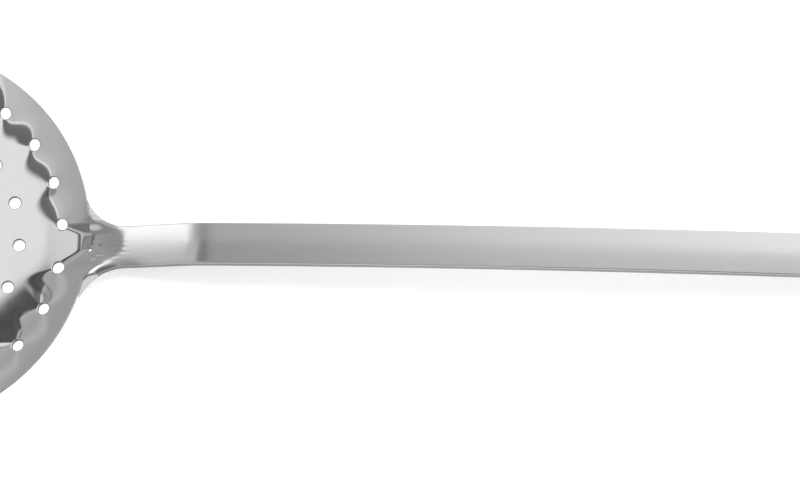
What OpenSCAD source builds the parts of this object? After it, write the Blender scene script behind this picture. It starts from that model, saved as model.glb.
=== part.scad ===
// Kitchen skimmer: a shallow perforated bowl welded to a long, cranked and gently arched bar handle.
// Millimetres. The origin is the centre of the bowl's flat underside, +X runs along the handle, +Z is up.

/* [Bowl] */
// Diameter of the bowl over its rim
bowl_d = 120; // [100:1:160]
// Thickness of the bowl's sheet
sheet_t = 1; // [0.8:0.1:1.4]
// Diameter of the flat middle of the bowl, which is also its foot
foot_d = 60; // [40:1:64]
// Slope where the dished floor meets the bend, in degrees
dish_angle = 8; // [4:0.5:12]
// Radius of the bend between the floor and the flange, on the underside
bend_r = 24; // [14:1:30]
// Slope of the flange, in degrees
flange_angle = 24; // [18:1:32]
// Width of the straight flange in plan
flange_w = 6; // [4:0.5:8]

/* [Drain holes] */
// Diameter of each drain hole
hole_d = 3.6; // [2.4:0.1:4.4]
// Number of hole rings round the middle hole
ring_count = 4; // [3:1:5]
// Distance from the outer hole ring to the rim
hole_margin = 8.6; // [7:0.1:12]
// Holes that each ring has more than the ring inside it
ring_step = 6; // [5:1:7]
// Angle that the whole hole pattern is turned from the handle's line, in degrees
hole_turn = 1.1; // [-6:0.1:6]

/* [Handle] */
// Length over all, from the bowl's far rim to the handle's end, in plan
overall_len = 430; // [340:5:480]
// Width of the handle bar
bar_w = 12.7; // [10:0.1:16]
// Thickness of the bar at its two edges
bar_t = 2.8; // [2:0.1:4]
// Thickness of the handle's root at its two edges
root_t = 2.2; // [1.8:0.1:3]
// Height of the bar's crown above its edges
crown_h = 0.5; // [0.2:0.1:1.2]
// Rounding of the bar's long edges
edge_r = 0.6; // [0.2:0.1:0.9]
// Distance from the rim to the crank, in plan
neck_len = 31.5; // [24:0.5:45]
// Slope of the neck between the rim and the crank, in degrees
neck_angle = 21.5; // [17:0.1:28]
// Slope of the handle just past the crank, in degrees
grip_angle = 12; // [5:0.1:16]
// Radius of the crank on the handle's top face
crank_r = 25; // [10:1:60]
// Radius of the handle's long arch on its top face
arch_r = 1900; // [1500:50:3000]

/* [Hanging hole] */
// Diameter of the hole that the skimmer hangs by
hang_d = 6; // [4:0.5:7]
// Distance from the hanging hole's axis to the handle's end
hang_inset = 10; // [7:0.5:16]

/* [Root and welds] */
// Radius of the flare that runs from the bar's edge into the rim, in plan
flare_r = 14.2; // [10:0.2:18]
// Distance from the handle's middle line to where its root ends and a corner weld starts, on the rim
root_half_w = 11.4; // [10.4:0.1:12.4]
// Radius of the handle's own corner at the root, which the corner weld fills
corner_r = 3.7; // [2.5:0.1:4.5]
// Distance from the handle's middle line that a corner weld reaches, on the rim
weld_half_w = 14.5; // [13.5:0.1:15.5]
// Depth of a corner weld's top below the handle's crown line
weld_drop = 0.9; // [0.6:0.1:1.3]
// Width of the weld under the rim, in plan
seam_w = 2.6; // [1.5:0.1:4]
// Depth of the weld under the rim, down the root's end
seam_h = 1.4; // [0.8:0.1:1.8]

/* [Hidden] */
$fn = 96;

// Colours of the polished sheet, the brushed bar and the bare weld metal
polished_steel = [0.80, 0.80, 0.81];
brushed_steel = [0.72, 0.72, 0.73];
weld_metal = [0.66, 0.65, 0.64];

// Room that a cutting shape runs past what it cuts
cut_past = 5;
// Steps in one arc of the bowl's profile
profile_steps = 8;
// Segments of a full turn that keep the long arcs smooth
fine_turn = 180;

// Bowl profile on the underside: the radii where the dish, bend and flange start and end
rim_r = bowl_d / 2;
foot_r = foot_d / 2;
bend_end_r = rim_r - flange_w;
bend_start_r = bend_end_r - bend_r * (sin(flange_angle) - sin(dish_angle));
dish_r = (bend_start_r - foot_r) / sin(dish_angle);
bend_start_z = dish_r * (1 - cos(dish_angle));
bend_end_z = bend_start_z + bend_r * (cos(dish_angle) - cos(flange_angle));
rim_under_z = bend_end_z + flange_w * tan(flange_angle);
rim_top_z = rim_under_z + sheet_t / cos(flange_angle);

// Hole rings share the distance from the middle to the outer ring
ring_pitch = (rim_r - hole_margin) / ring_count;

// Handle: slopes at its ends, and where its top line turns, as [x, z]
bar_half = bar_w / 2;
handle_end_x = overall_len - rim_r;
crank_tangent = crank_r * tan((neck_angle - grip_angle) / 2);
crank_corner = [rim_r + neck_len, rim_top_z + neck_len * tan(neck_angle)];
crank_start = crank_corner - crank_tangent * heading(neck_angle);
crank_end = crank_corner + crank_tangent * heading(grip_angle);
crank_centre = crank_start - crank_r * upward(neck_angle);
arch_centre = crank_end - arch_r * upward(grip_angle);
end_angle = asin((arch_centre[0] - handle_end_x) / arch_r);

// Flare: a plan arc that is tangent to the rim's circle and to the bar's edge
flare_y = bar_half + flare_r;
flare_x = sqrt(pow(rim_r + flare_r, 2) - pow(flare_y, 2));
flare_touch_x = flare_x * rim_r / (rim_r + flare_r);

// Angles round the rim where the root ends and where a corner weld ends
root_half_angle = asin(root_half_w / rim_r);
weld_half_angle = asin(weld_half_w / rim_r);

// Direction of travel and the upward normal of the handle's top line at a slope, as [x, z]
function heading(a) = [cos(a), sin(a)];
function upward(a) = [-sin(a), cos(a)];
// A point at a distance and an angle round the bowl's axis
function polar(r, a) = [r * cos(a), r * sin(a)];

// Slope and height of the bowl's underside at a distance from its axis
function slope_at(r) =
    r <= foot_r ? 0
    : r <= bend_start_r ? asin((r - foot_r) / dish_r)
    : r <= bend_end_r ? asin(sin(dish_angle) + (r - bend_start_r) / bend_r)
    : flange_angle;
function height_at(r) =
    r <= foot_r ? 0
    : r <= bend_start_r ? dish_r * (1 - cos(slope_at(r)))
    : r <= bend_end_r ? bend_start_z + bend_r * (cos(dish_angle) - cos(slope_at(r)))
    : bend_end_z + (r - bend_end_r) * tan(flange_angle);

// Radii at which the bowl's profile has a point, without the two at its rim
function profile_radii() = concat(
    [for (i = [0 : profile_steps]) foot_r + (bend_start_r - foot_r) * i / profile_steps],
    [for (i = [1 : profile_steps]) bend_start_r + (bend_end_r - bend_start_r) * i / profile_steps]);
function underside_point(r) = [r, height_at(r)];
function inside_point(r) = underside_point(r) + sheet_t * upward(slope_at(r));

// The sheet in section, with its rim trimmed upright
module bowl_section() {
    radii = profile_radii();
    last = len(radii) - 1;
    polygon(concat(
        [[0, 0]],
        [for (r = radii) underside_point(r)],
        [[rim_r, rim_under_z], [rim_r, rim_top_z]],
        [for (i = [last : -1 : 0]) inside_point(radii[i])],
        [[0, sheet_t]]));
}

// A drain hole square to the sheet, at a distance and an angle round the bowl's axis
module drain_hole(r, a) {
    rotate([0, 0, a])
        translate([r, 0, height_at(r)])
            rotate([0, -slope_at(r), 0])
                cylinder(h = 2 * (sheet_t + cut_past), d = hole_d, center = true);
}

// Rings of holes; every second ring is turned by half a step, counted from the outer one
module drain_holes() {
    drain_hole(0, 0);
    for (ring = [1 : ring_count]) {
        count = ring * ring_step;
        turn = hole_turn + ((ring_count - ring) % 2 == 0 ? 180 / count : 0);
        for (i = [0 : count - 1])
            drain_hole(ring * ring_pitch, turn + 360 * i / count);
    }
}

module bowl() {
    color(polished_steel)
        difference() {
            rotate_extrude() bowl_section();
            drain_holes();
        }
}

// Points of an arc round a centre, from one angle to another
function arc_points(centre, r, from, to, steps) =
    [for (i = [0 : steps]) centre + polar(r, from + (to - from) * i / steps)];

// The bar in section: a low crown, upright edges and rounded corners; the crown line is at 0
crown_steps = 8;
corner_steps = 3;
function crown_drop(u) = crown_h * min(1, pow(u / bar_half, 2));
function bar_section(half, edge_t) =
    let (
        r = min(edge_r, half / 2, edge_t / 2),
        top = -crown_drop(half),
        bottom = -crown_h - edge_t,
        reach = half - r)
    concat(
        arc_points([reach, bottom + r], r, -90, 0, corner_steps),
        arc_points([reach, top - r], r, 0, 90, corner_steps),
        [for (i = [1 : crown_steps - 1])
            let (u = reach * (1 - 2 * i / crown_steps)) [u, min(top + crown_h, -crown_drop(u))]],
        arc_points([-reach, top - r], r, 90, 180, corner_steps),
        arc_points([-reach, bottom + r], r, 180, 270, corner_steps));

// Stations along the handle, each as [x, z, slope, half width, edge thickness]
flare_steps = 10;
crank_steps = 8;
arch_steps = 24;
end_steps = 8;
function flare_half(x) = flare_y - sqrt(pow(flare_r, 2) - pow(flare_x - x, 2));
function neck_z(x) = rim_top_z + (x - rim_r) * tan(neck_angle);
function edge_at(x) = root_t + (bar_t - root_t) * min(1, max(0, (x - rim_r) / neck_len));
function end_half(x) =
    x <= handle_end_x - bar_half ? bar_half
    : sqrt(max(0, pow(bar_half, 2) - pow(x - handle_end_x + bar_half, 2)));

function flare_stations() = [
    for (i = [0 : flare_steps])
        let (x = flare_touch_x + (flare_x - flare_touch_x) * pow(i / flare_steps, 1.5))
        [x, neck_z(x), neck_angle, flare_half(x), edge_at(x)]];
function arc_station(centre, r, a) =
    let (p = centre + r * upward(a))
    [p[0], p[1], a, end_half(p[0]), edge_at(p[0])];
function crank_stations() = [
    for (i = [0 : crank_steps])
        arc_station(crank_centre, crank_r, neck_angle + (grip_angle - neck_angle) * i / crank_steps)];
// Slope of the arch where it passes a plan position
function arch_slope(x) = asin((arch_centre[0] - x) / arch_r);
function arch_stations() = [
    for (i = [1 : arch_steps])
        let (x = crank_end[0] + (handle_end_x - bar_half - crank_end[0]) * i / arch_steps)
        arc_station(arch_centre, arch_r, arch_slope(x))];
function end_stations() = [
    for (i = [1 : end_steps])
        let (x = handle_end_x - bar_half * (1 - sin(88 * i / end_steps)))
        arc_station(arch_centre, arch_r, arch_slope(x))];

// A section's points, stood up at its station
function placed(station) =
    let (n = upward(station[2]))
    [for (p = bar_section(station[3], station[4]))
        [station[0] + p[1] * n[0], p[0], station[1] + p[1] * n[1]]];

// A closed loft through a list of stations
module loft(stations) {
    rings = [for (s = stations) placed(s)];
    count = len(rings[0]);
    last = len(rings) - 1;
    points = [for (ring = rings) each ring];
    sides = [
        for (i = [0 : last - 1], j = [0 : count - 1])
            let (a = i * count + j, b = i * count + (j + 1) % count)
            each [[a, b, b + count], [a, b + count, a + count]]];
    ends = [
        [for (j = [count - 1 : -1 : 0]) j],
        [for (j = [0 : count - 1]) last * count + j]];
    polyhedron(points = points, faces = concat(sides, ends), convexity = 4);
}

// Everything inside the rim's circle, which the handle's root butts against
module inside_rim() {
    translate([0, 0, -cut_past])
        cylinder(h = crank_corner[1] + 2 * cut_past, r = rim_r);
}

// Plan of a corner zone, where weld metal and not the root fills the flare; side is 1 or -1
module corner_zone(side) {
    scale([1, side]) {
        translate(polar(rim_r + corner_r, root_half_angle)) circle(r = corner_r);
        polygon([
            polar(rim_r - cut_past, root_half_angle),
            polar(rim_r + 3 * corner_r, root_half_angle),
            polar(rim_r + 3 * corner_r, 3 * root_half_angle),
            polar(rim_r - cut_past, 3 * root_half_angle)]);
    }
}

// A plan shape raised through the whole height of the neck
module through_neck() {
    translate([0, 0, -cut_past])
        linear_extrude(height = crank_corner[1] + 2 * cut_past) children();
}

// The hole's axis stands on the arch's centre, square to the handle's top face
module hanging_hole() {
    a = arch_slope(handle_end_x - hang_inset);
    p = arch_centre + arch_r * upward(a);
    translate([p[0], 0, p[1]])
        rotate([0, -a, 0])
            cylinder(h = 2 * (crown_h + bar_t + cut_past), d = hang_d, center = true);
}

module handle() {
    color(brushed_steel)
        difference() {
            loft(concat(flare_stations(), crank_stations(), arch_stations(), end_stations()));
            inside_rim();
            for (side = [1, -1]) through_neck() corner_zone(side);
            hanging_hole();
        }
}

// Plan of a corner weld: the flare's own corner, up to the end of the weld's reach
module corner_weld_plan(side) {
    difference() {
        corner_zone(side);
        circle(r = rim_r, $fn = fine_turn);
        translate([flare_x, side * flare_y]) circle(r = flare_r);
        scale([1, side])
            polygon([
                polar(rim_r - 2 * cut_past, weld_half_angle),
                polar(rim_r + 4 * corner_r, weld_half_angle),
                polar(rim_r + 4 * corner_r, 4 * root_half_angle),
                polar(rim_r - 2 * cut_past, 4 * root_half_angle)]);
    }
}

// A slab that follows the neck, between two depths below its crown line
module neck_slab(from, to) {
    translate([rim_r, 0, rim_top_z])
        rotate([0, -neck_angle, 0])
            translate([-neck_len, -rim_r, -to])
                cube([2 * neck_len, bowl_d, to - from]);
}

module corner_weld(side) {
    color(weld_metal)
        intersection() {
            through_neck() corner_weld_plan(side);
            neck_slab(weld_drop, crown_h + root_t);
        }
}

module weld_corner_back() {
    corner_weld(1);
}

module weld_corner_front() {
    corner_weld(-1);
}

// The weld that fills the angle between the rim's underside and the root's end
module weld_under_rim() {
    color(weld_metal)
        rotate([0, 0, -root_half_angle])
            rotate_extrude(angle = 2 * root_half_angle, $fn = fine_turn)
                polygon([
                    [rim_r, rim_under_z],
                    [rim_r, rim_under_z - seam_h],
                    [rim_r - seam_w, rim_under_z - seam_w * tan(flange_angle)]]);
}

bowl();
handle();
weld_corner_back();
weld_corner_front();
weld_under_rim();
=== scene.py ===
"""Kitchen skimmer: polished perforated bowl, satin cranked handle and bare welds, in a white studio."""

import math

import bpy
import numpy as np
from mathutils import Matrix, Vector
from mathutils.geometry import delaunay_2d_cdt


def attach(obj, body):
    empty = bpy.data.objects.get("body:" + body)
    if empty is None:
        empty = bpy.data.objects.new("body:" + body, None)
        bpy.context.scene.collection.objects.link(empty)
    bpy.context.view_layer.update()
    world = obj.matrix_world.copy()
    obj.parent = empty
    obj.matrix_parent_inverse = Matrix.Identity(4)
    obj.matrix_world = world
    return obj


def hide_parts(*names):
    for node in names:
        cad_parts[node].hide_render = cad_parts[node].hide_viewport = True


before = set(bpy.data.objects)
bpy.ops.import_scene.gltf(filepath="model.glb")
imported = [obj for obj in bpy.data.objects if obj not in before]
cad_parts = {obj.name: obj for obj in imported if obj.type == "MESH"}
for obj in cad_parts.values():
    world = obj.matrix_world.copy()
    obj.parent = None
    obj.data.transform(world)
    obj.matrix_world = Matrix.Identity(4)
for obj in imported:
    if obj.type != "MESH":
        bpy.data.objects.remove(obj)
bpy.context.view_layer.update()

# Shapes are worked out in millimetres, and mesh points and lamps are in metres
MM = 0.001
CENTRE = np.zeros(2)

# Bowl: the solid's sizes, but for a rim just inside its flat facets
RIM_R = 59.98
SHEET_T = 1.0
FOOT_R = 30.0
DISH_ANGLE = math.radians(8)
FLANGE_ANGLE = math.radians(24)
BEND_R = 24.0
FLANGE_W = 6.0

# Where the solid's bend starts and ends, and the heights of its rim
BEND_END_R = RIM_R - FLANGE_W
BEND_START_R = BEND_END_R - BEND_R * (math.sin(FLANGE_ANGLE) - math.sin(DISH_ANGLE))
BEND_START_Z = (BEND_START_R - FOOT_R) * math.tan(DISH_ANGLE / 2)
BEND_END_Z = BEND_START_Z + BEND_R * (math.cos(DISH_ANGLE) - math.cos(FLANGE_ANGLE))
RIM_UNDER_Z = BEND_END_Z + FLANGE_W * math.tan(FLANGE_ANGLE)
RIM_TOP_Z = RIM_UNDER_Z + SHEET_T / math.cos(FLANGE_ANGLE)

# Drain holes, in rings round one in the middle
HOLE_R = 1.8
HOLE_EDGE_R = 0.33
HOLE_TURN = math.radians(1.1)
HOLE_SIDES = 36
RING_COUNT = 4
RING_STEP = 6
OUTER_RING_INSET = 8.6
RING_PITCH = (RIM_R - OUTER_RING_INSET) / RING_COUNT
OUTER_HOLES = RING_COUNT * RING_STEP
OUTER_TURN = HOLE_TURN + math.pi / OUTER_HOLES

# Handle: the solid's plan, with a neck, a crank and a grip that differ a little from the solid's
END_X = 370.0
BAR_HALF = 6.35
BAR_T = 2.8
ROOT_T = 2.2
CROWN_H = 0.5
GRIP_CROWN_H = 0.65
EDGE_R = 0.5
NECK_LEN = 32.3
NECK_ANGLE = math.radians(21.28)
GRIP_ANGLE = math.radians(11.94)
CRANK_R = 42.0
ARCH_R = 1900.0
HANG_R = 3.0
HANG_EDGE_R = 0.3
HANG_INSET = 10.0

# Root: flared to the rim, with a corner of its own that the corner weld fills
FLARE_R = 14.2
ROOT_HALF_W = 11.4
CORNER_R = 3.7

# Camera, fitted to the rim, the holes and the handle's edges in the photograph
IMAGE_W = 800
FOCAL_PX = 3506.0
CAMERA_TARGET = Vector((152.37, 8.42, 0)) * MM
CAMERA_DISTANCE = 1051.0 * MM
CAMERA_AZIMUTH = math.radians(3.941)
CAMERA_ELEVATION = math.radians(73.388)
CAMERA_CLIP = (0.05, 20)
SENSOR_W = 36.0


def add_object(name, data):
    """Links a new object to the scene."""
    made = bpy.data.objects.new(name, data)
    bpy.context.scene.collection.objects.link(made)
    return made


def add_mesh(name, points, faces, normals=None):
    """A smooth-shaded mesh object from points in millimetres."""
    mesh = bpy.data.meshes.new(name)
    mesh.from_pydata((np.asarray(points) * MM).tolist(), [], faces)
    mesh.update()
    mesh.shade_smooth()
    if normals is not None:
        mesh.normals_split_custom_set_from_vertices(np.asarray(normals).tolist())
    return add_object(name, mesh)


def make_camera():
    data = bpy.data.cameras.new("camera")
    data.sensor_width = SENSOR_W
    data.lens = FOCAL_PX / IMAGE_W * SENSOR_W
    data.clip_start, data.clip_end = CAMERA_CLIP
    camera = add_object("camera", data)
    side = Vector((math.sin(CAMERA_AZIMUTH), -math.cos(CAMERA_AZIMUTH), 0))
    back = side * math.cos(CAMERA_ELEVATION) + Vector((0, 0, math.sin(CAMERA_ELEVATION)))
    camera.location = CAMERA_TARGET + back * CAMERA_DISTANCE
    camera.rotation_mode = "QUATERNION"
    camera.rotation_quaternion = (-back).to_track_quat("-Z", "Y")
    bpy.context.scene.camera = camera


BUMP_DISTANCE = 0.0001


class Nodes:
    """Short calls that add and link shader nodes."""

    def __init__(self, tree):
        self.tree = tree
        tree.nodes.clear()

    def add(self, kind, **settings):
        node = self.tree.nodes.new(kind)
        for key, value in settings.items():
            setattr(node, key, value)
        return node

    def feed(self, node, index, value):
        """Links a socket to an input, or sets the input to a plain value."""
        if isinstance(value, bpy.types.NodeSocket):
            self.tree.links.new(value, node.inputs[index])
        elif value is not None:
            node.inputs[index].default_value = value

    def output(self, kind, shader):
        """Links a shader to a new output node."""
        self.tree.links.new(shader.outputs[0], self.add(kind).inputs[0])

    def math(self, operation, a, b=None, clamp=False):
        node = self.add("ShaderNodeMath", operation=operation, use_clamp=clamp)
        self.feed(node, 0, a)
        self.feed(node, 1, b)
        return node.outputs[0]

    def ramp(self, value, low, high, stops):
        """A grey ramp over value, from low to high; stops are (value, grey) pairs."""
        share = self.math("DIVIDE", self.math("SUBTRACT", value, low), high - low, clamp=True)
        node = self.add("ShaderNodeValToRGB")
        node.color_ramp.interpolation = "EASE"
        elements = node.color_ramp.elements
        while len(elements) < len(stops):
            elements.new(0.5)
        for element, (place, grey) in zip(elements, sorted(stops)):
            element.position = (place - low) / (high - low)
            element.color = (grey, grey, grey, 1)
        self.feed(node, 0, share)
        return node.outputs[0]

    def step(self, value, start, end, low=0.0, high=1.0):
        """A smooth step from low to high as value goes from start to end."""
        node = self.add("ShaderNodeMapRange", interpolation_type="SMOOTHSTEP")
        for i, x in enumerate((value, start, end, low, high)):
            self.feed(node, i, x)
        return node.outputs[0]

    def window(self, value, edges):
        """1 between the second and third of four edges, and 0 outside the first and last."""
        rise = self.step(value, edges[0], edges[1])
        return self.math("MULTIPLY", rise, self.step(value, edges[3], edges[2]))

    def noise(self, vector, scale, detail, roughness=0.5):
        node = self.add("ShaderNodeTexNoise")
        self.feed(node, "Vector", vector)
        self.feed(node, "Scale", scale)
        self.feed(node, "Detail", detail)
        self.feed(node, "Roughness", roughness)
        return node.outputs[0]

    def stretched(self, vector, scale):
        node = self.add("ShaderNodeVectorMath", operation="MULTIPLY")
        self.feed(node, 0, vector)
        self.feed(node, 1, scale)
        return node.outputs[0]

    def distance(self, vector, middle):
        """Distance of a place from a middle."""
        node = self.add("ShaderNodeVectorMath", operation="DISTANCE")
        self.feed(node, 0, vector)
        self.feed(node, 1, middle)
        return node.outputs["Value"]

    def parts(self, vector):
        node = self.add("ShaderNodeSeparateXYZ")
        self.feed(node, 0, vector)
        return node.outputs

    def mix(self, share, a, b):
        """a where share is 0, and b where it is 1, for plain numbers."""
        node = self.add("ShaderNodeMix")
        self.feed(node, 0, share)
        self.feed(node, 2, a)
        self.feed(node, 3, b)
        return node.outputs[0]

    def metal(self, metallic=1.0):
        node = self.add("ShaderNodeBsdfPrincipled")
        node.inputs["Metallic"].default_value = metallic
        return node

    def bump(self, height, strength):
        """A normal with a very fine relief."""
        node = self.add("ShaderNodeBump")
        node.inputs["Strength"].default_value = strength
        node.inputs["Distance"].default_value = BUMP_DISTANCE
        self.feed(node, "Height", height)
        return node.outputs[0]


def new_material(name):
    made = bpy.data.materials.new(name)
    made.use_nodes = True
    return made, Nodes(made.node_tree)


# Studio: angles from straight up, in degrees, along X and along Y, of what bright metal mirrors
BOX_X = (-25.5, -18.5, 40.0, 50.0)
BOX_Y = (-4.0, 2.0, 60.0, 66.0)
BOX_LEVEL = 1.02
BOX_REAR = (27.0, 36.0)
BOX_REAR_LEVEL = 1.3
FLAG_X = (-11.0, -12.6)
FLAG_Y = (17.8, 19.6, 27.0, 30.5)
WALL_SPAN = (-90.0, 90.0)
NEAR_WALL = [
    (-90.0, 0.4), (-59.0, 0.3), (-54.5, 0.52), (-46.0, 0.6), (-36.0, 0.7), (-34.5, 1.1), (-34.1, 1.1),
    (-33.2, 0.23), (-29.0, 0.19), (-20.0, 0.17), (0.0, 0.2), (60.0, 0.3), (90.0, 0.9)]
FAR_WALL = [
    (-90.0, 0.4), (-58.0, 0.44), (-50.0, 0.58), (-40.0, 0.48), (-26.2, 0.52), (-25.8, 0.9), (-25.5, 0.9),
    (-24.9, 0.17), (0.0, 0.25), (60.0, 0.3), (90.0, 0.9)]
WALLS_MEET = (26.0, 28.0)
SHADE_SPAN = (15.0, 40.0)
FLAG_SHADES = [
    (15.0, 1.0), (18.0, 1.0), (19.4, 0.45), (21.0, 0.5), (23.0, 0.65), (25.3, 0.6), (26.8, 0.4),
    (28.0, 1.0), (40.0, 1.0)]
FRONT_LIGHT = (-70.0, -86.0)
FRONT_LEVEL = 0.85
BACK_LIGHT = (84.0, 90.0)
BACK_LEVEL = 1.0
SEEN_LEVEL = 1.0
ROOM_LEVEL = 0.9


def make_world():
    """A white room whose glossy reflections have a softbox with a flag, and two walls with a bright strip."""
    world = bpy.data.worlds.new("studio")
    bpy.context.scene.world = world
    world.use_nodes = True
    n = Nodes(world.node_tree)
    x, y, z = n.parts(n.add("ShaderNodeTexCoord").outputs["Generated"])[:3]
    across = n.math("DEGREES", n.math("ARCTAN2", x, z))
    along = n.math("DEGREES", n.math("ARCTAN2", y, z))

    flag = n.math("MULTIPLY", n.window(along, FLAG_Y), n.step(across, *FLAG_X))
    box = n.math("MULTIPLY", n.window(across, BOX_X), n.window(along, BOX_Y))
    box = n.math("MULTIPLY", box, n.math("SUBTRACT", 1.0, flag))
    near = n.ramp(across, *WALL_SPAN, NEAR_WALL)
    far = n.ramp(across, *WALL_SPAN, FAR_WALL)
    wall = n.mix(n.step(along, *WALLS_MEET), near, far)
    wall = n.math("MULTIPLY", wall, n.ramp(along, *SHADE_SPAN, FLAG_SHADES))
    studio = n.mix(box, wall, n.step(along, *BOX_REAR, BOX_LEVEL, BOX_REAR_LEVEL))
    studio = n.mix(n.step(along, *FRONT_LIGHT), studio, FRONT_LEVEL)
    studio = n.mix(n.step(along, *BACK_LIGHT), studio, BACK_LEVEL)

    # every ray that shows the room takes it as white, and only glossy ones mirror the studio
    rays = n.add("ShaderNodeLightPath").outputs
    glossy = rays["Is Glossy Ray"]
    seen = n.math("MAXIMUM", rays["Is Camera Ray"], rays["Is Transmission Ray"])
    seen = n.math("MAXIMUM", seen, glossy)
    level = n.math("MULTIPLY", n.mix(seen, ROOM_LEVEL, SEEN_LEVEL), n.mix(glossy, 1.0, studio))
    background = n.add("ShaderNodeBackground")
    n.feed(background, 0, (1, 1, 1, 1))
    n.feed(background, 1, level)
    n.output("ShaderNodeOutputWorld", background)


# Floor: pale, with a glow that keeps it white in the picture, stronger where the bowl shades it
FLOOR_R = 0.8
FLOOR_SIDES = 96
FLOOR_GREY = 0.78
FLOOR_GLOW = (0.3, 0.55)
UNDER_BOWL = (0.080, 0.048)
TIP_SLOPE = 0.5


def floor_plane():
    """Slope along X and height at X = 0 of the plane that the bowl's heel and the handle's end rest on."""
    bowl = np.array([v.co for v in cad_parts["bowl"].data.vertices])
    bar = np.array([v.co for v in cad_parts["handle"].data.vertices])
    # the handle's lowest point on the side of its end
    tip = bar[np.argmin(bar[:, 2] - TIP_SLOPE * bar[:, 0])]
    slopes = (tip[2] - bowl[:, 2]) / (tip[0] - bowl[:, 0])
    slope = float(slopes.max())
    return slope, float(tip[2] - slope * tip[0])


def floor_material():
    material, n = new_material("floor")
    rays = n.add("ShaderNodeLightPath").outputs
    seen = n.math("MAXIMUM", rays["Is Camera Ray"], rays["Is Glossy Ray"])
    seen = n.math("MAXIMUM", seen, rays["Is Transmission Ray"])
    diffuse = n.add("ShaderNodeBsdfDiffuse")
    n.feed(diffuse, 0, (FLOOR_GREY, FLOOR_GREY, FLOOR_GREY, 1))
    glow = n.add("ShaderNodeEmission")
    place = n.add("ShaderNodeTexCoord").outputs["Object"]
    under = n.step(n.distance(place, (-CAMERA_TARGET.x, 0, 0)), *UNDER_BOWL)
    n.feed(glow, 1, n.math("MULTIPLY", seen, n.mix(under, *FLOOR_GLOW)))
    both = n.add("ShaderNodeAddShader")
    n.feed(both, 0, diffuse.outputs[0])
    n.feed(both, 1, glow.outputs[0])
    sides = n.add("ShaderNodeMixShader")
    n.feed(sides, 0, n.add("ShaderNodeNewGeometry").outputs["Backfacing"])
    n.feed(sides, 1, both.outputs[0])
    n.feed(sides, 2, n.add("ShaderNodeBsdfTransparent").outputs[0])
    n.output("ShaderNodeOutputMaterial", sides)
    return material


def make_floor():
    slope, height = floor_plane()
    middle = Vector((CAMERA_TARGET.x, 0, height + slope * CAMERA_TARGET.x))
    mesh = bpy.data.meshes.new("floor")
    angles = [2 * math.pi * i / FLOOR_SIDES for i in range(FLOOR_SIDES)]
    points = [(FLOOR_R * math.cos(a), FLOOR_R * math.sin(a), 0) for a in angles]
    mesh.from_pydata(points, [], [range(FLOOR_SIDES)])
    floor = add_object("floor", mesh)
    floor.matrix_world = Matrix.Translation(middle) @ Matrix.Rotation(-math.atan(slope), 4, "Y")
    mesh.materials.append(floor_material())


# Lamps: their angles from straight up, in degrees, along X and along Y
KEY_AT = (-25.0, 28.0)
KEY_DISTANCE = 1.2
KEY_SIZE = 0.55
KEY_POWER = 9.0
PANEL_AT = (-52.0, 44.5)
PANEL_FACES = Vector((0.08, 0, 0.018))
PANEL_SIZE = (0.28, 0.46)
PANEL_LEVEL = 1.5


def toward(angles):
    """Unit direction at two angles from straight up, in degrees, along X and along Y."""
    return Vector([math.tan(math.radians(a)) for a in angles] + [1]).normalized()


def make_key():
    """The soft lamp behind and to the left of the object."""
    data = bpy.data.lights.new("key", "AREA")
    data.shape = "RECTANGLE"
    data.size = KEY_SIZE
    data.size_y = KEY_SIZE
    data.energy = KEY_POWER
    lamp = add_object("key", data)
    direction = toward(KEY_AT)
    lamp.location = CAMERA_TARGET + direction * KEY_DISTANCE
    lamp.rotation_mode = "QUATERNION"
    lamp.rotation_quaternion = (-direction).to_track_quat("-Z", "Y")
    lamp.visible_glossy = False
    lamp.visible_camera = False


def make_panel(bar):
    """A soft panel one metre away for the satin handle alone, which the neck's back half mirrors."""
    data = bpy.data.lights.new("panel", "AREA")
    data.shape = "RECTANGLE"
    data.size, data.size_y = PANEL_SIZE
    data.energy = PANEL_LEVEL * math.pi * data.size * data.size_y
    direction = toward(PANEL_AT)
    up = (Vector((0, 1, 0)) - direction * direction.y).normalized()
    turn = Matrix((up.cross(direction), up, direction)).transposed().to_4x4()
    lamp = add_object("panel", data)
    lamp.matrix_world = Matrix.Translation(PANEL_FACES + direction) @ turn
    lamp.visible_camera = False
    receivers = bpy.data.collections.new("panel_receivers")
    receivers.objects.link(bar)
    lamp.light_linking.receiver_collection = receivers


# Shape of the bowl's sheet: the bend is narrow at each hole of the outer ring and wide between them
DISH_END_ANGLE = math.radians(6.8)
BEND_WIDE = 8.6
BEND_PINCHED = 1.5
FLANGE_CURL = 0.004
SHEET_RISE = 1.03
RIM_EDGE_R = 0.25

# At the joint the bend runs out towards the rim, so that the dish sends out a tongue and the rim dips
TONGUE_MIDDLE = 2.3
TONGUE_HALF = 2.2
TONGUE_FADE_BACK = 3.8
TONGUE_FADE_FRONT = 8.0
TONGUE_REACH = 7.0
TONGUE_BEND = 1.8

# What follows from these
DISH_R = (BEND_START_R - FOOT_R) / math.sin(DISH_END_ANGLE)
BEND_RISE = math.tan(FLANGE_ANGLE) - math.tan(DISH_END_ANGLE)
CURL_RISE = FLANGE_CURL * FLANGE_W ** 2

SLOPE_STEP = 1e-4


def smooth_step(t):
    t = np.clip(t, 0, 1)
    return t * t * (3 - 2 * t)


def bend_rise(t):
    """Integral of a smooth step that goes from 0 to 1 over t = -1 to 1."""
    u = np.clip(t, -1, 1)
    inside = 0.5 * (u + 1) + 0.375 * (u * u - 1) - 0.0625 * (u ** 4 - 1)
    return inside + np.maximum(t - 1, 0)


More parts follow.
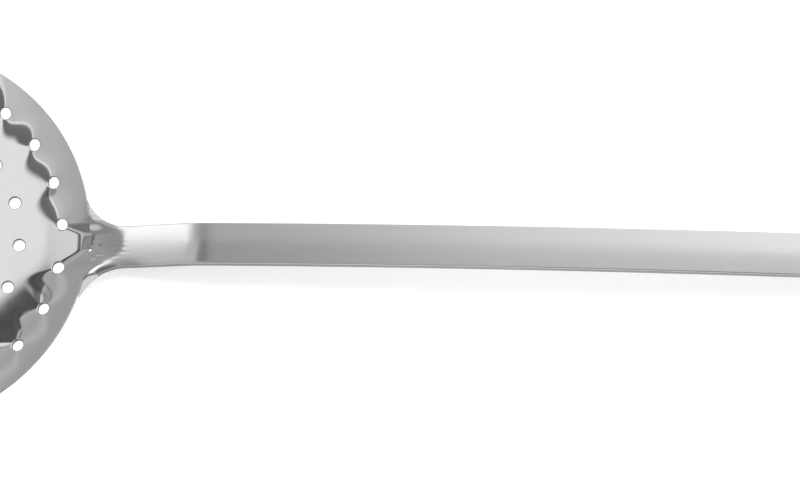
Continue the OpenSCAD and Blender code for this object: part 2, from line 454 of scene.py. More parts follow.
def dish_height(r):
    """Underside of the dish: an arc up to the bend, and its slope carried on beyond."""
    u = np.clip(r - FOOT_R, 0, BEND_START_R - FOOT_R)
    arc_height = DISH_R - np.sqrt(DISH_R ** 2 - u ** 2)
    return arc_height + np.maximum(r - BEND_START_R, 0) * math.tan(DISH_END_ANGLE)


# The bend's middle, at which the rim has the solid's height
BEND_CENTRE_R = RIM_R - (RIM_UNDER_Z - CURL_RISE - dish_height(RIM_R)) / BEND_RISE


def joint_share(x, y):
    """1 on the tongue and 0 away from the joint."""
    off = y - TONGUE_MIDDLE
    fade = np.where(off > 0, TONGUE_FADE_BACK, TONGUE_FADE_FRONT)
    return np.where(x > 0, 1 - smooth_step((np.abs(off) - TONGUE_HALF) / fade), 0)


def lower_height(x, y):
    """Underside of the sheet."""
    r = np.hypot(x, y)
    angle = np.arctan2(y, x)
    between = np.sin(0.5 * OUTER_HOLES * (angle - OUTER_TURN)) ** 2
    width = np.sqrt(BEND_PINCHED ** 2 + (BEND_WIDE ** 2 - BEND_PINCHED ** 2) * between)
    tongue = joint_share(x, y)
    width = width + (TONGUE_BEND - width) * tongue
    middle = BEND_CENTRE_R + TONGUE_REACH * tongue
    past = np.maximum(r - BEND_END_R, 0)
    curl = FLANGE_CURL * np.minimum(past, FLANGE_W) * (2 * past - np.minimum(past, FLANGE_W))
    return dish_height(r) + BEND_RISE * width * bend_rise((r - middle) / width) + curl * (1 - tongue)


def upper_height(x, y):
    """Upper face of the sheet, one thickness above the underside."""
    return lower_height(x, y) + SHEET_RISE


def normals_of(height, x, y):
    """Upward unit normals of a height field."""
    h = SLOPE_STEP
    dx = (height(x + h, y) - height(x - h, y)) / (2 * h)
    dy = (height(x, y + h) - height(x, y - h)) / (2 * h)
    n = np.stack([-dx, -dy, np.ones_like(dx)], axis=-1)
    return n / np.linalg.norm(n, axis=-1, keepdims=True)


def polar(r, a):
    return r * np.array([math.cos(a), math.sin(a)])


def circle(sides):
    """Unit directions round a circle, anticlockwise."""
    a = np.arange(sides) * 2 * math.pi / sides
    return np.stack([np.cos(a), np.sin(a)], axis=1)


def circle_meeting(a, ra, b, rb, pick):
    """Where two circles meet: on the left of the way from a to b for 1, and on the right for -1."""
    d = np.linalg.norm(b - a)
    along = (d * d + ra * ra - rb * rb) / (2 * d)
    off = math.sqrt(ra * ra - along * along)
    u = (b - a) / d
    return a + along * u + pick * off * np.array([-u[1], u[0]])


# Plan of the joint's back half: the flare is tangent to the bar and to the rim
FLARE_Y = BAR_HALF + FLARE_R
FLARE_X = math.sqrt((RIM_R + FLARE_R) ** 2 - FLARE_Y ** 2)
FLARE_AT = np.array([FLARE_X, FLARE_Y])
ROOT_HALF_ANGLE = math.asin(ROOT_HALF_W / RIM_R)
CORNER_AT = polar(RIM_R + CORNER_R, ROOT_HALF_ANGLE)
FLARE_CORNER = circle_meeting(FLARE_AT, FLARE_R, CORNER_AT, CORNER_R, 1)

# The root's corner ends on the rim in a spike, which is cut off a little way out
SPIKE_GAP = 0.3
SPIKE = circle_meeting(CENTRE, RIM_R + SPIKE_GAP, CORNER_AT, CORNER_R, -1)
SPIKE_ON_RIM = polar(RIM_R, math.atan2(SPIKE[1], SPIKE[0]))

# Where the handle is welded on, the rim has almost no rounding
SPIKE_CUT = 1.5
ROOT_ANGLE = ROOT_HALF_ANGLE - SPIKE_CUT / RIM_R
JOINT_BLEND = math.radians(2.0)
JOINT_EDGE_R = 0.02


def hole_centres():
    """Plan positions of the drain holes."""
    found = [(0.0, 0.0)]
    for ring in range(1, RING_COUNT + 1):
        count = ring * RING_STEP
        turn = HOLE_TURN + (math.pi / count if (RING_COUNT - ring) % 2 == 0 else 0)
        for i in range(count):
            a = turn + 2 * math.pi * i / count
            found.append((ring * RING_PITCH * math.cos(a), ring * RING_PITCH * math.sin(a)))
    return found


class Builder:
    """Collects points, normals and faces."""

    def __init__(self):
        self.points, self.normals, self.faces = [], [], []

    def put(self, points, normals):
        """Adds points and returns their numbers."""
        start = len(self.points)
        self.points.extend(map(tuple, points))
        self.normals.extend(map(tuple, normals))
        return list(range(start, start + len(points)))

    def strip(self, a, b):
        """Quads between two closed loops of the same length."""
        for i in range(len(a)):
            j = (i + 1) % len(a)
            self.faces.append((a[i], a[j], b[j], b[i]))


def grid(first, second):
    """Plan points at every pair of the given places along X and Y."""
    return np.stack(np.meshgrid(first, second), axis=-1).reshape(-1, 2)


def gap_to(points, spots):
    """Distance from each spot to the nearest of the points."""
    return np.hypot(*(spots[:, None] - points[None]).transpose(2, 0, 1)).min(1)


# Spacing of the mesh points
RIM_SIDES = 720
BOWL_TOP_STEPS = (0.7, 1.2)
BOWL_UNDER_STEPS = (1.3, 2.0)
FINE_BEFORE_BEND = 6
JOINT_ZONE_X = 47.0
JOINT_ZONE_Y = (-7.0, 11.0)
JOINT_ZONE_STEP = 0.35
JOINT_ZONE_GAP = 0.2
JOINT_ZONE_END = 0.3
JOINT_EDGE_GAP = 0.4
HOLE_CLEAR_SHARE = 0.35
HOLE_CLEAR = 0.1
ROUNDING_STEPS = 3
MERGE_GAP = 1e-7


def sheet_points(fine, coarse, hole_loops, edge_r):
    """Plan points on rings, finer past the dish and at the joint, that keep clear of the hole loops."""
    fine_r = BEND_START_R - FINE_BEFORE_BEND
    inner = np.arange(coarse, fine_r, coarse)
    outer = np.arange(fine_r, edge_r - 0.5 * fine, fine)
    rings = []
    for k, r in enumerate(np.concatenate([inner, outer])):
        count = int(2 * math.pi * r / (coarse if k < len(inner) else fine))
        a = (np.arange(count) + 0.5 * (k % 2)) * 2 * math.pi / count
        rings.append(np.stack([r * np.cos(a), r * np.sin(a)], axis=1))
    spots = np.concatenate(rings)
    low_y, high_y = JOINT_ZONE_Y
    joint = grid(
        np.arange(JOINT_ZONE_X, edge_r - JOINT_ZONE_END, JOINT_ZONE_STEP),
        np.arange(low_y, high_y, JOINT_ZONE_STEP))
    at_joint = spots[:, 0] > JOINT_ZONE_X - JOINT_ZONE_GAP
    at_joint &= (spots[:, 1] > low_y - JOINT_ZONE_GAP) & (spots[:, 1] < high_y + JOINT_ZONE_GAP)
    spots = np.concatenate([spots[~at_joint], joint[np.hypot(*joint.T) < edge_r - JOINT_EDGE_GAP]])
    middles = np.array([loop.mean(0) for loop in hole_loops])
    clear = HOLE_R + HOLE_EDGE_R + HOLE_CLEAR_SHARE * fine + HOLE_CLEAR
    return spots[gap_to(middles, spots) > clear]


def add_face(made, height, side, loops, spots):
    """A height field inside the first loop and outside the others; returns the point numbers of each loop."""
    plan = np.concatenate(loops + [spots])
    edges, owner, starts = [], np.full(len(plan), -1), [0]
    for k, loop in enumerate(loops):
        count, start = len(loop), starts[-1]
        edges += [(start + i, start + (i + 1) % count) for i in range(count)]
        owner[start:start + count] = k
        starts.append(start + count)
    found = delaunay_2d_cdt([Vector(p) for p in plan], edges, [], 1, MERGE_GAP)
    if len(found[0]) != len(plan):
        raise ValueError("an outline crosses itself")
    x, y = plan[:, 0], plan[:, 1]
    ids = made.put(np.stack([x, y, height(x, y)], axis=1), normals_of(height, x, y) * side)
    for face in found[2]:
        owners = {int(owner[i]) for i in face}
        if len(owners) == 1 and owners.pop() >= 1:
            continue
        p, q, s = (plan[i] for i in face)
        left = (q[0] - p[0]) * (s[1] - p[1]) - (q[1] - p[1]) * (s[0] - p[0]) > 0
        order = face if left == (side > 0) else list(reversed(face))
        made.faces.append(tuple(ids[i] for i in order))
    return [ids[a:b] for a, b in zip(starts, starts[1:])]


def rounding(radius):
    """Angles from the face's normal to the wall's, with the offsets in and down at each."""
    angles = [math.pi / 2 * i / ROUNDING_STEPS for i in range(1, ROUNDING_STEPS + 1)]
    return [(a, radius * (1 - math.sin(a)), radius * (1 - math.cos(a))) for a in angles]


def edge_loops(made, top, low, outward, radii):
    """Rounded edges and the wall from a top loop to a low loop; outward holds each point's plan normal."""
    out = np.concatenate([outward, np.zeros((len(outward), 1))], axis=1)
    size = radii[:, None]
    loops = [top]
    for loop, up in ((top, 1), (low, -1)):
        place = np.array([made.points[i] for i in loop])
        normal = np.array([made.normals[i] for i in loop])
        for a, inset, drop in rounding(1.0)[::up]:
            spot = place + out * size * (1 - inset) - np.array([0, 0, up]) * size * drop
            loops.append(made.put(spot, math.cos(a) * normal + math.sin(a) * out))
    loops.append(low)
    for a, b in zip(loops, loops[1:]):
        made.strip(b, a)


def hole_ring(x, y):
    """The dish's normal at a drain hole, and unit directions round the hole."""
    n = normals_of(upper_height, np.array([x]), np.array([y]))[0]
    e1 = np.cross(n, [0.0, 1.0, 0.0])
    e1 /= np.linalg.norm(e1)
    e2 = np.cross(n, e1)
    cosine, sine = circle(HOLE_SIDES).T
    return n, cosine[:, None] * e1 - sine[:, None] * e2


def hole_wall(made, n, ring, top, low):
    """Rounded edges and the wall of a drain hole, between its loops on the two faces."""
    p_top = np.array([made.points[i] for i in top])
    p_low = np.array([made.points[i] for i in low])
    loops = [top]
    for a, inset, drop in rounding(HOLE_EDGE_R):
        place = p_top - ring * (HOLE_EDGE_R - inset) - n * drop
        loops.append(made.put(place, math.cos(a) * n - math.sin(a) * ring))
    for a, inset, drop in reversed(rounding(HOLE_EDGE_R)):
        place = p_low - ring * (HOLE_EDGE_R - inset) + n * drop
        loops.append(made.put(place, -math.cos(a) * n - math.sin(a) * ring))
    loops.append(low)
    for a, b in zip(loops, loops[1:]):
        made.strip(b, a)


def make_bowl():
    made = Builder()
    holes = [(np.array(centre), *hole_ring(*centre)) for centre in hole_centres()]
    tops = [centre + (HOLE_R + HOLE_EDGE_R) * ring[:, :2] for centre, n, ring in holes]
    lows = [top - SHEET_T * n[:2] for top, (centre, n, ring) in zip(tops, holes)]
    out = circle(RIM_SIDES)
    past_joint = np.abs(np.arctan2(out[:, 1], out[:, 0])) - ROOT_ANGLE
    radii = RIM_EDGE_R * smooth_step(past_joint / JOINT_BLEND + 0.5) + JOINT_EDGE_R
    outer = out * (RIM_R - radii[:, None])
    edge_r = RIM_R - RIM_EDGE_R - JOINT_EDGE_R
    top_spots = sheet_points(*BOWL_TOP_STEPS, tops, edge_r)
    low_spots = sheet_points(*BOWL_UNDER_STEPS, lows, edge_r)
    top_loops = add_face(made, upper_height, 1, [outer] + tops, top_spots)
    low_loops = add_face(made, lower_height, -1, [outer] + lows, low_spots)
    for (centre, n, ring), top, low in zip(holes, top_loops[1:], low_loops[1:]):
        hole_wall(made, n, ring, top, low)
    edge_loops(made, top_loops[0], low_loops[0], out, radii)
    return add_mesh("bowl_sheet", made.points, made.faces, made.normals)


def arc(centre, start, end, step):
    """Points from start up to, but without, end, the short way round a centre."""
    a0 = math.atan2(*(start - centre)[::-1])
    a1 = math.atan2(*(end - centre)[::-1])
    turn = (a1 - a0 + math.pi) % (2 * math.pi) - math.pi
    r = np.linalg.norm(start - centre)
    count = max(2, int(abs(turn) * r / step))
    a = a0 + turn * np.arange(count) / count
    return centre + r * np.stack([np.cos(a), np.sin(a)], axis=1)


def line(start, end, step):
    """Points from start up to, but without, end."""
    count = max(1, int(np.linalg.norm(end - start) / step))
    return start + (end - start) * (np.arange(count) / count)[:, None]


# Steps along the handle's outline, and the rounding of its corner at the weld
SPIKE_STEP = 0.1
CORNER_STEP = 0.25
FLARE_STEP = 0.4
BAR_STEP = 2.5
NOSE_STEP = 0.5
CORNER_EDGE_R = 0.25


def handle_outline():
    """Plan outline from the rim along the front edge, round the end and back, with edge radii."""
    flip = np.array([1, -1])
    touch = np.array([FLARE_X, BAR_HALF])
    tip = np.array([END_X - BAR_HALF, 0.0])
    end_side = np.array([END_X - BAR_HALF, BAR_HALF])
    end = tip + [BAR_HALF, 0]
    parts = [
        (line(SPIKE_ON_RIM, SPIKE, SPIKE_STEP), JOINT_EDGE_R),
        (arc(CORNER_AT, SPIKE, FLARE_CORNER, CORNER_STEP), CORNER_EDGE_R),
        (arc(FLARE_AT, FLARE_CORNER, touch, FLARE_STEP), EDGE_R),
        (line(touch, end_side, BAR_STEP), EDGE_R)]
    back = np.concatenate([points for points, _ in parts] + [end_side[None]])
    radius = np.concatenate([np.full(len(points), r) for points, r in parts] + [[EDGE_R]])
    nose = arc(tip, end_side * flip, end, NOSE_STEP)
    nose = np.concatenate([nose[1:], arc(tip, end, end_side, NOSE_STEP)])
    rim = arc(CENTRE, SPIKE_ON_RIM, SPIKE_ON_RIM * flip, FLARE_STEP)[1:]
    outline = np.concatenate([back * flip, nose, back[::-1], rim])
    radii = [radius, np.full(len(nose), EDGE_R), radius[::-1], np.full(len(rim), JOINT_EDGE_R)]
    return outline, np.concatenate(radii)


def plan_normals(outline):
    """Outward plan normals of a loop that runs anticlockwise."""
    step = np.roll(outline, -1, 0) - outline
    step /= np.linalg.norm(step, axis=1, keepdims=True)
    mean = step + np.roll(step, 1, 0)
    mean /= np.linalg.norm(mean, axis=1, keepdims=True)
    return np.stack([mean[:, 1], -mean[:, 0]], axis=1)


def eased(values, width):
    """Values round a loop, averaged over a few neighbours on each side."""
    return sum(np.roll(values, k) for k in range(-width, width + 1)) / (2 * width + 1)


# Side view of the handle: a straight neck, a crank on a short radius, and a long arch
CRANK_X = RIM_R + NECK_LEN
CRANK_Z = RIM_TOP_Z + NECK_LEN * math.tan(NECK_ANGLE)
CRANK_TANGENT = CRANK_R * math.tan((NECK_ANGLE - GRIP_ANGLE) / 2)
CRANK_START_X = CRANK_X - CRANK_TANGENT * math.cos(NECK_ANGLE)
CRANK_END_X = CRANK_X + CRANK_TANGENT * math.cos(GRIP_ANGLE)
CRANK_CENTRE_X = CRANK_START_X + CRANK_R * math.sin(NECK_ANGLE)
CRANK_CENTRE_Z = CRANK_Z - CRANK_TANGENT * math.sin(NECK_ANGLE) - CRANK_R * math.cos(NECK_ANGLE)
ARCH_CENTRE_X = CRANK_END_X + ARCH_R * math.sin(GRIP_ANGLE)
ARCH_CENTRE_Z = CRANK_Z + CRANK_TANGENT * math.sin(GRIP_ANGLE) - ARCH_R * math.cos(GRIP_ANGLE)


def crown_line(x):
    """Height of the handle's top line."""
    neck = RIM_TOP_Z + (x - RIM_R) * math.tan(NECK_ANGLE)
    crank = CRANK_CENTRE_Z + np.sqrt(np.maximum(CRANK_R ** 2 - (x - CRANK_CENTRE_X) ** 2, 0))
    arch = ARCH_CENTRE_Z + np.sqrt(ARCH_R ** 2 - (x - ARCH_CENTRE_X) ** 2)
    return np.where(x < CRANK_START_X, neck, np.where(x < CRANK_END_X, crank, arch))


def crown_slope(x):
    """Angle of the handle's top line."""
    crank = np.arcsin(np.clip((CRANK_CENTRE_X - x) / CRANK_R, -1, 1))
    arch = np.arcsin((ARCH_CENTRE_X - x) / ARCH_R)
    return np.where(x < CRANK_START_X, NECK_ANGLE, np.where(x < CRANK_END_X, crank, arch))


# Cross-section: flat at the rim, round on the neck, with a ridge on the grip
ROOT_BLEND = (0.5, 12.0)
ROOT_FLAT_END = 72.0
RIDGE_R = 1.6
RIDGE_START_X = 84.0
RIDGE_LEN = 14.0

# The root's long edges: rounded off, and turned up at the corner welds
BEVEL_H = 0.5
BEVEL_W = 3.0
BEVEL_START = 6.0
BEVEL_END_X = 82.0
BEVEL_FADE = 12.0
BEVEL_BACK = 0.4
LIP_H = 0.25

# Marks that grinding and polishing left on the front half of the root
RIPPLE_AT = (66.0, -1.5)
RIPPLE_REACH = (5.5, 2.6)
RIPPLE_H = 0.035
RIPPLE_WAVES = 4.2
RIPPLE_SWAY = 0.9
RIPPLE_SWELL = (0.5, 1.7)
RIPPLE_START_X = 59.5
MARK_RISE = 2
GROOVE_Y = -4.6
GROOVE_R = 0.8
GROOVE_H = 0.06
GROOVE_START_X = 61.5
GROOVE_END_X = 80
GROOVE_FADE = 14
PIT_AT = (63.6, 0.3)
PIT_R = 0.8
PIT_H = 0.12


def crown_drop(x, y):
    """Across the bar: round on the neck, and two nearly flat halves with a rounded ridge on the grip."""
    off = np.minimum(np.abs(y), BAR_HALF + 1)
    ridge = (np.sqrt(off ** 2 + RIDGE_R ** 2) - RIDGE_R) / (math.hypot(BAR_HALF, RIDGE_R) - RIDGE_R)
    rounded = (off / BAR_HALF) ** 2
    grip = smooth_step((x - RIDGE_START_X) / RIDGE_LEN)
    return CROWN_H * rounded + (GRIP_CROWN_H * ridge - CROWN_H * rounded) * grip


def flare_bevel(x, y):
    """How far the long edges of the root drop, or rise where they meet the corner welds."""
    gap = np.hypot(FLARE_X - np.minimum(x, FLARE_X), FLARE_Y - np.abs(y)) - FLARE_R
    started = smooth_step((np.hypot(x, y) - RIM_R) / BEVEL_START)
    height = BEVEL_H * started * smooth_step((BEVEL_END_X - x) / BEVEL_FADE) - LIP_H * (1 - started)
    return height * np.clip(1 - gap / BEVEL_W, 0, 1) ** 2 * np.where(y < 0, 1, BEVEL_BACK)


def root_marks(x, y):
    """Fine ripples, a groove near the front edge and one small pit."""
    off_x = (x - RIPPLE_AT[0]) / RIPPLE_REACH[0]
    off_y = (y - RIPPLE_AT[1]) / RIPPLE_REACH[1]
    wave = np.sin(RIPPLE_WAVES * y + RIPPLE_SWAY * np.sin(RIPPLE_SWAY * x))
    swell = 1 + RIPPLE_SWELL[0] * np.sin(RIPPLE_SWELL[1] * x)
    ripple = RIPPLE_H * np.exp(-off_x ** 2 - off_y ** 2) * wave * swell
    ripple = ripple * smooth_step((x - RIPPLE_START_X) / MARK_RISE)
    run = smooth_step((x - GROOVE_START_X) / MARK_RISE) * smooth_step((GROOVE_END_X - x) / GROOVE_FADE)
    groove = -GROOVE_H * run * np.exp(-((y - GROOVE_Y) / GROOVE_R) ** 2)
    pit = -PIT_H * np.exp(-((np.hypot(x - PIT_AT[0], y - PIT_AT[1]) / PIT_R) ** 2))
    return ripple + groove + pit


def root_blend(x, y):
    """0 at the rim, where the root follows the bowl's sheet, and 1 on the neck."""
    past_rim = np.hypot(x, y) - RIM_R
    return smooth_step((past_rim - ROOT_BLEND[0]) / (ROOT_BLEND[1] - ROOT_BLEND[0]))


def handle_top(x, y):
    """The crowned top face, which runs into the flange at the rim."""
    crowned = smooth_step((x - RIM_R) / (ROOT_FLAT_END - RIM_R))
    bar = crown_line(x) - crown_drop(x, y) * crowned / np.cos(crown_slope(x))
    flange = upper_height(x, y)
    return flange + (bar - flange) * root_blend(x, y) - flare_bevel(x, y) + root_marks(x, y)


def handle_under(x, y):
    """The flat underside, which dips with the rim at the joint."""
    dip = BEND_RISE * TONGUE_REACH * joint_share(x, y) * (1 - root_blend(x, y))
    edge_t = ROOT_T + (BAR_T - ROOT_T) * np.clip((x - RIM_R) / NECK_LEN, 0, 1)
    return crown_line(x) - (CROWN_H + edge_t) / np.cos(crown_slope(x)) - dip


# Spacing of the points inside the handle's outline, and its direction of brushing
ROOT_SPOT_STEP = 0.35
NECK_SPOT_STEP = 0.8
CRANK_SPOT_STEP = 0.3
GRIP_SPOT_STEP = 2.5
ROOT_SPOTS_BACK = 2.2
CRANK_MARGIN = 1
END_MARGIN = 3
SPOTS_REACH = 1.9
SPOTS_ACROSS = 67
EDGE_GAP = 0.85
HANG_GAP = 0.8
UNDER_STRIDE = 3
EDGE_EASE = 2
HANG_SIDES = 72
BRUSH_ACROSS = (0.05, 0.2)
BRUSH_LENGTH = 0.4


def handle_spots(outline, hole):
    """Plan points inside the handle: close together at the root and the crank, and far apart on the grip."""
    crank_from = CRANK_START_X - CRANK_MARGIN
    crank_to = CRANK_END_X + CRANK_MARGIN
    stations = np.concatenate([
        np.arange(RIM_R - ROOT_SPOTS_BACK, FLARE_X, ROOT_SPOT_STEP),
        np.arange(FLARE_X, crank_from, NECK_SPOT_STEP),
        np.arange(crank_from, crank_to, CRANK_SPOT_STEP),
        np.arange(crank_to, END_X - END_MARGIN, GRIP_SPOT_STEP)])
    spots = grid(stations, BAR_HALF * np.linspace(-SPOTS_REACH, SPOTS_REACH, SPOTS_ACROSS))
    x, y = spots.T
    flare_edge = FLARE_Y - np.sqrt(np.maximum(FLARE_R ** 2 - (FLARE_X - x) ** 2, 0))
    inside = np.abs(y) < np.where(x < FLARE_X, flare_edge, BAR_HALF)
    inside &= np.hypot(x, y) > RIM_R
    for side in (1, -1):
        inside &= np.hypot(*(spots - CORNER_AT * [1, side]).T) > CORNER_R
    inside &= (x < END_X - BAR_HALF) | (np.hypot(x - END_X + BAR_HALF, y) < BAR_HALF)
    inside &= np.hypot(*(spots - hole).T) > HANG_R + HANG_GAP
    return spots[inside & (gap_to(outline, spots) > EDGE_GAP)]


def make_handle():
    made = Builder()
    outline, radii = handle_outline()
    out = plan_normals(outline)
    radii = eased(radii, EDGE_EASE)
    inset = outline - out * radii[:, None]
    ring = circle(HANG_SIDES)
    hole_x = END_X - HANG_INSET
    top_hole = [hole_x, 0] + ring * (HANG_R + HANG_EDGE_R)
    lean = (CROWN_H + BAR_T) * math.sin(float(crown_slope(np.array(hole_x))))
    low_hole = top_hole + [lean, 0]
    spots = handle_spots(outline, np.array([hole_x + lean / 2, 0]))
    top = add_face(made, handle_top, 1, [inset, top_hole], spots)
    low = add_face(made, handle_under, -1, [inset, low_hole], spots[::UNDER_STRIDE])
    edge_loops(made, top[0], low[0], out, radii)
    edge_loops(made, top[1][::-1], low[1][::-1], -ring[::-1], np.full(HANG_SIDES, HANG_EDGE_R))
    bar = add_mesh("handle_bar", made.points, made.faces, made.normals)
    across = bar.data.uv_layers.new(name="across")
    for corner in bar.data.loops:
        x, y, z = bar.data.vertices[corner.vertex_index].co
        across.data[corner.index].uv = (y / BRUSH_ACROSS[0] + z / BRUSH_ACROSS[1], x / BRUSH_LENGTH)
    return bar


# Corner welds, between the rim, the flare and the root's own corner
WELD_TOP_DROP = 0.55
WELD_EDGE_R = 0.06
WELD_UNDER_DROP = 0.05
WELD_STEP = 0.3
WELD_CLEAR = 0.25
WELD_END_GAP = 0.2
WELD_END_STEP = 0.25
WELD_SPIKE_STEP = 0.2
WELD_END = circle_meeting(FLARE_AT, FLARE_R, CENTRE, RIM_R + WELD_END_GAP, 1)
WELD_END_ON_RIM = polar(RIM_R, math.atan2(WELD_END[1], WELD_END[0]))
BEAD_H = 0.06
BEAD_WAVES = 5.1
LUMP_H = 0.04
LUMP_WAVES = (3.7, 4.3)
LUMP_SHIFT = 1.3


def weld_outline(side):
    """Plan of a corner weld, anticlockwise."""
    parts = [
        arc(CENTRE, SPIKE_ON_RIM, WELD_END_ON_RIM, WELD_STEP),
        line(WELD_END_ON_RIM, WELD_END, WELD_END_STEP),
        arc(FLARE_AT, WELD_END, FLARE_CORNER, WELD_STEP),
        arc(CORNER_AT, FLARE_CORNER, SPIKE, WELD_STEP),
        line(SPIKE, SPIKE_ON_RIM, WELD_SPIKE_STEP)]
    outline = np.concatenate(parts) * [1, side]
    x, y = outline.T
    area = np.sum(x * np.roll(y, -1) - y * np.roll(x, -1))
    return outline if area > 0 else outline[::-1]


def weld_top(x, y):
    """The weld's face: a low fillet with the ripples of its beads."""
    from_rim = np.hypot(x, y) - RIM_R
    bead = BEAD_H * np.sin(BEAD_WAVES * np.hypot(x - RIM_R, y))
    lump = LUMP_H * np.sin(LUMP_WAVES[0] * x + LUMP_SHIFT) * np.sin(LUMP_WAVES[1] * y)
    return RIM_TOP_Z - WELD_TOP_DROP + np.maximum(from_rim, 0) * math.tan(NECK_ANGLE) + (bead + lump)


def weld_low(x, y):
    """The weld's underside, just below the root's."""
    return crown_line(x) - (CROWN_H + ROOT_T) / math.cos(NECK_ANGLE) - WELD_UNDER_DROP


def make_corner_weld(name, side):
    made = Builder()
    outline = weld_outline(side)
    out = plan_normals(outline)
    radii = np.full(len(outline), WELD_EDGE_R)
    inset = outline - out * radii[:, None]
    low = outline.min(0)
    high = outline.max(0)
    spots = grid(np.arange(low[0], high[0], WELD_STEP), np.arange(low[1], high[1], WELD_STEP))
    keep = (np.hypot(*spots.T) > RIM_R) & (gap_to(outline, spots) > WELD_CLEAR)
    keep &= np.hypot(*(spots - FLARE_AT * [1, side]).T) > FLARE_R
    beyond = np.abs(np.arctan2(spots[:, 1], spots[:, 0])) > ROOT_HALF_ANGLE
    keep &= (np.hypot(*(spots - CORNER_AT * [1, side]).T) < CORNER_R) | beyond
    spots = spots[keep]
    top_loops = add_face(made, weld_top, 1, [inset], spots)
    low_loops = add_face(made, weld_low, -1, [inset], spots)
    edge_loops(made, top_loops[0], low_loops[0], out, radii)
    return add_mesh(name, made.points, made.faces, made.normals)


# Weld under the rim: a low bead below the sheet, against the handle's end
SEAM_IN_R = 57.4
SEAM_OUT_R = RIM_R - 0.01
SEAM_DEPTH = 1.4
SEAM_LEAST = 0.3
SEAM_COVER = 0.3
SEAM_SINK = 0.02
SEAM_BULGE = 1.3
SEAM_TAPER = 0.15
SEAM_RIPPLE = 0.05
SEAM_WAVES = 160
SEAM_ACROSS = 8
SEAM_STEPS = 90


def make_under_weld():
    """A closed bead along the rim, with its upper side hidden in the sheet."""
    made = Builder()
    u = np.linspace(0, 1, SEAM_ACROSS)
    r = SEAM_IN_R + (SEAM_OUT_R - SEAM_IN_R) * u
    rows = []
    for a in np.linspace(-ROOT_HALF_ANGLE, ROOT_HALF_ANGLE, SEAM_STEPS):
        x, y = r * math.cos(a), r * math.sin(a)
        under = lower_height(x, y)
        dip = RIM_UNDER_Z - float(under[-1])
        full = 1 - smooth_step((abs(a) / ROOT_HALF_ANGLE - (1 - SEAM_TAPER)) / SEAM_TAPER)
        depth = SEAM_LEAST + max(SEAM_DEPTH - SEAM_LEAST - dip, 0) * full
        depth *= 1 - SEAM_RIPPLE + SEAM_RIPPLE * math.sin(SEAM_WAVES * a)
        low = under - depth * u ** SEAM_BULGE - SEAM_SINK
        top = under + SEAM_COVER
        ring = np.concatenate([np.stack([x, y, low], axis=1), np.stack([x, y, top], axis=1)[::-1]])
        rows.append(made.put(ring, np.tile([0.0, 0.0, 1.0], (len(ring), 1))))
    for a, b in zip(rows, rows[1:]):
        made.strip(a, b)
    made.faces.append(tuple(rows[0]))
    made.faces.append(tuple(reversed(rows[-1])))
    return add_mesh("under_rim_bead", made.points, made.faces)


# Polished metal: greys and roughness change where a face turns from level, 1, to upright, 0; the greys darken
# upright walls as painted shade
CUT_FACE = (0.85, 0.7)
POLISHED_GREYS_AND_WALL_SHADE = [(0.45, 0.12), (0.7, 0.3), (0.8, 0.72)]
POLISHED_GRAIN = (90, 4)
GRAIN_SPAN = (0.3, 0.7)
POLISHED_ROUGH = (0.04, 0.08)
POLISHED_CUT_ROUGH = 0.25

# Satin metal: places in metres along the handle, and values for the root, the neck and the grip
NECK_FROM_X = (0.0605, 0.067)
GRIP_FROM_X = (0.0938, 0.0992)
STREAK_SCALE = (10, 700, 500)
STREAK_DETAIL = (3, 0.6)
STREAK_ROUGH = (0.02, 0.1)
STREAK_BUMP = 0.05
ROOT_ROUGH = 0.06
NECK_ROUGH = 0.25
GRIP_ROUGH = 0.36
SATIN_CUT_ROUGH = 0.15
ROOT_GREY = 0.72
# Painted shade: the neck is a darker grey than the root, and the grip grows lighter from the crank to the end
NECK_SHADED_GREY = 0.66
GRIP_SHADE_X = (0.07, 0.19)
GRIP_SHADED_GREYS = (0.6, 0.82)
# Painted shade: the handle's upright sides are darker
SATIN_WALL_SHADE_GREYS = [(0.4, 0.25), (0.6, 1.0)]
NECK_BRUSHING = 0.9
GRIP_BRUSHING = 0.45

# Painted shade: a darker band along the flare's front edge, standing in for the dark reflection there
FRONT_SHADE_BAND = (1.2, 3.6)
FRONT_SHADE_GREY = 0.7

# Weld metal
WELD_METALLIC = 0.4
WELD_ROUGH = 0.5
WELD_GRAIN = (2500, 4, 0.6)
WELD_GREYS = [(0.3, 0.56), (0.7, 0.7)]
WELD_BUMP = 0.4


def levelness(n):
    """1 on a level face and 0 on an upright one."""
    return n.math("ABSOLUTE", n.parts(n.add("ShaderNodeNewGeometry").outputs["Normal"])[2])


def polished_steel():
    """Mirror polish, duller on the cut walls of the holes and the rim, which also carry painted shade as a
    darker grey.
    """
    material, n = new_material("polished_steel")
    place = n.add("ShaderNodeTexCoord").outputs["Object"]
    level = levelness(n)
    polish = n.step(n.noise(place, *POLISHED_GRAIN), *GRAIN_SPAN, *POLISHED_ROUGH)
    shader = n.metal()
    # painted shade: the base grey darkens on the upright walls of the holes and the rim
    n.feed(shader, "Base Color", n.ramp(level, 0.0, 1.0, POLISHED_GREYS_AND_WALL_SHADE))
    n.feed(shader, "Roughness", n.mix(n.step(level, *CUT_FACE), polish, POLISHED_CUT_ROUGH))
    n.output("ShaderNodeOutputMaterial", shader)
    return material


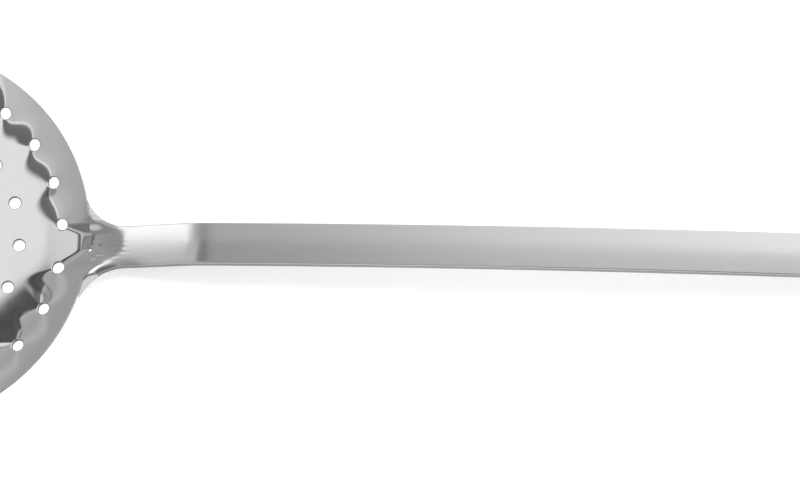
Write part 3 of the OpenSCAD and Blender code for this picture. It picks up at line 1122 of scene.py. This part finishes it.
def satin_steel():
    """Brushed lengthwise past the crank, polished on the root, and finely ground on the neck, with painted
    shade on its sides, on the neck, towards the crank and along the flare's front edge.
    """
    material, n = new_material("satin_steel")
    place = n.add("ShaderNodeTexCoord").outputs["Object"]
    level = levelness(n)
    x = n.parts(place)[0]
    neck = n.step(x, *NECK_FROM_X)
    grip = n.step(x, *GRIP_FROM_X)
    streaks = n.noise(n.stretched(place, STREAK_SCALE), 1.0, *STREAK_DETAIL)

    rough = n.mix(grip, n.mix(neck, ROOT_ROUGH, NECK_ROUGH), GRIP_ROUGH)
    uneven = n.math("MULTIPLY", n.math("SUBTRACT", streaks, 0.5), n.mix(grip, *STREAK_ROUGH))
    rough = n.math("ADD", rough, uneven)

    # painted shade: a darker neck, and a grip that lightens from the crank towards the end
    grey = n.mix(grip, n.mix(neck, ROOT_GREY, NECK_SHADED_GREY), n.step(x, *GRIP_SHADE_X, *GRIP_SHADED_GREYS))
    # painted shade: a darker band along the flare's front edge
    from_flare = n.distance(place, Vector((FLARE_X, -FLARE_Y, RIM_TOP_Z)) * MM)
    band = [(FLARE_R + reach) * MM for reach in FRONT_SHADE_BAND]
    grey = n.math("MULTIPLY", grey, n.step(from_flare, *band, FRONT_SHADE_GREY, 1.0))
    # painted shade: the handle's upright sides and the edges' roundings are darker
    grey = n.math("MULTIPLY", n.ramp(level, 0.0, 1.0, SATIN_WALL_SHADE_GREYS), grey)

    shader = n.metal()
    n.feed(shader, "Base Color", grey)
    n.feed(shader, "Anisotropic", n.mix(neck, 0.0, n.mix(grip, NECK_BRUSHING, GRIP_BRUSHING)))
    n.feed(shader, "Roughness", n.mix(n.step(level, *CUT_FACE), rough, SATIN_CUT_ROUGH))
    brushing = n.add("ShaderNodeTangent", direction_type="UV_MAP", uv_map="across")
    n.feed(shader, "Tangent", brushing.outputs[0])
    n.feed(shader, "Normal", n.bump(n.math("MULTIPLY", streaks, grip), STREAK_BUMP))
    n.output("ShaderNodeOutputMaterial", shader)
    return material


def weld_steel():
    """Matt and grainy."""
    material, n = new_material("weld_steel")
    grain = n.noise(n.add("ShaderNodeTexCoord").outputs["Object"], *WELD_GRAIN)
    shader = n.metal(WELD_METALLIC)
    shader.inputs["Roughness"].default_value = WELD_ROUGH
    n.feed(shader, "Base Color", n.ramp(grain, 0.0, 1.0, WELD_GREYS))
    n.feed(shader, "Normal", n.bump(grain, WELD_BUMP))
    n.output("ShaderNodeOutputMaterial", shader)
    return material


def fit(piece, node, material):
    """Puts a piece in place of its solid."""
    piece.data.materials.append(material)
    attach(piece, "root")
    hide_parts(node)


make_camera()
make_world()
make_floor()
make_key()
weld = weld_steel()
fit(make_bowl(), "bowl", polished_steel())
handle = make_handle()
fit(handle, "handle", satin_steel())
make_panel(handle)
fit(make_corner_weld("corner_bead_back", 1), "weld_corner_back", weld)
fit(make_corner_weld("corner_bead_front", -1), "weld_corner_front", weld)
fit(make_under_weld(), "weld_under_rim", weld)

bpy.context.scene.view_settings.view_transform = "Standard"
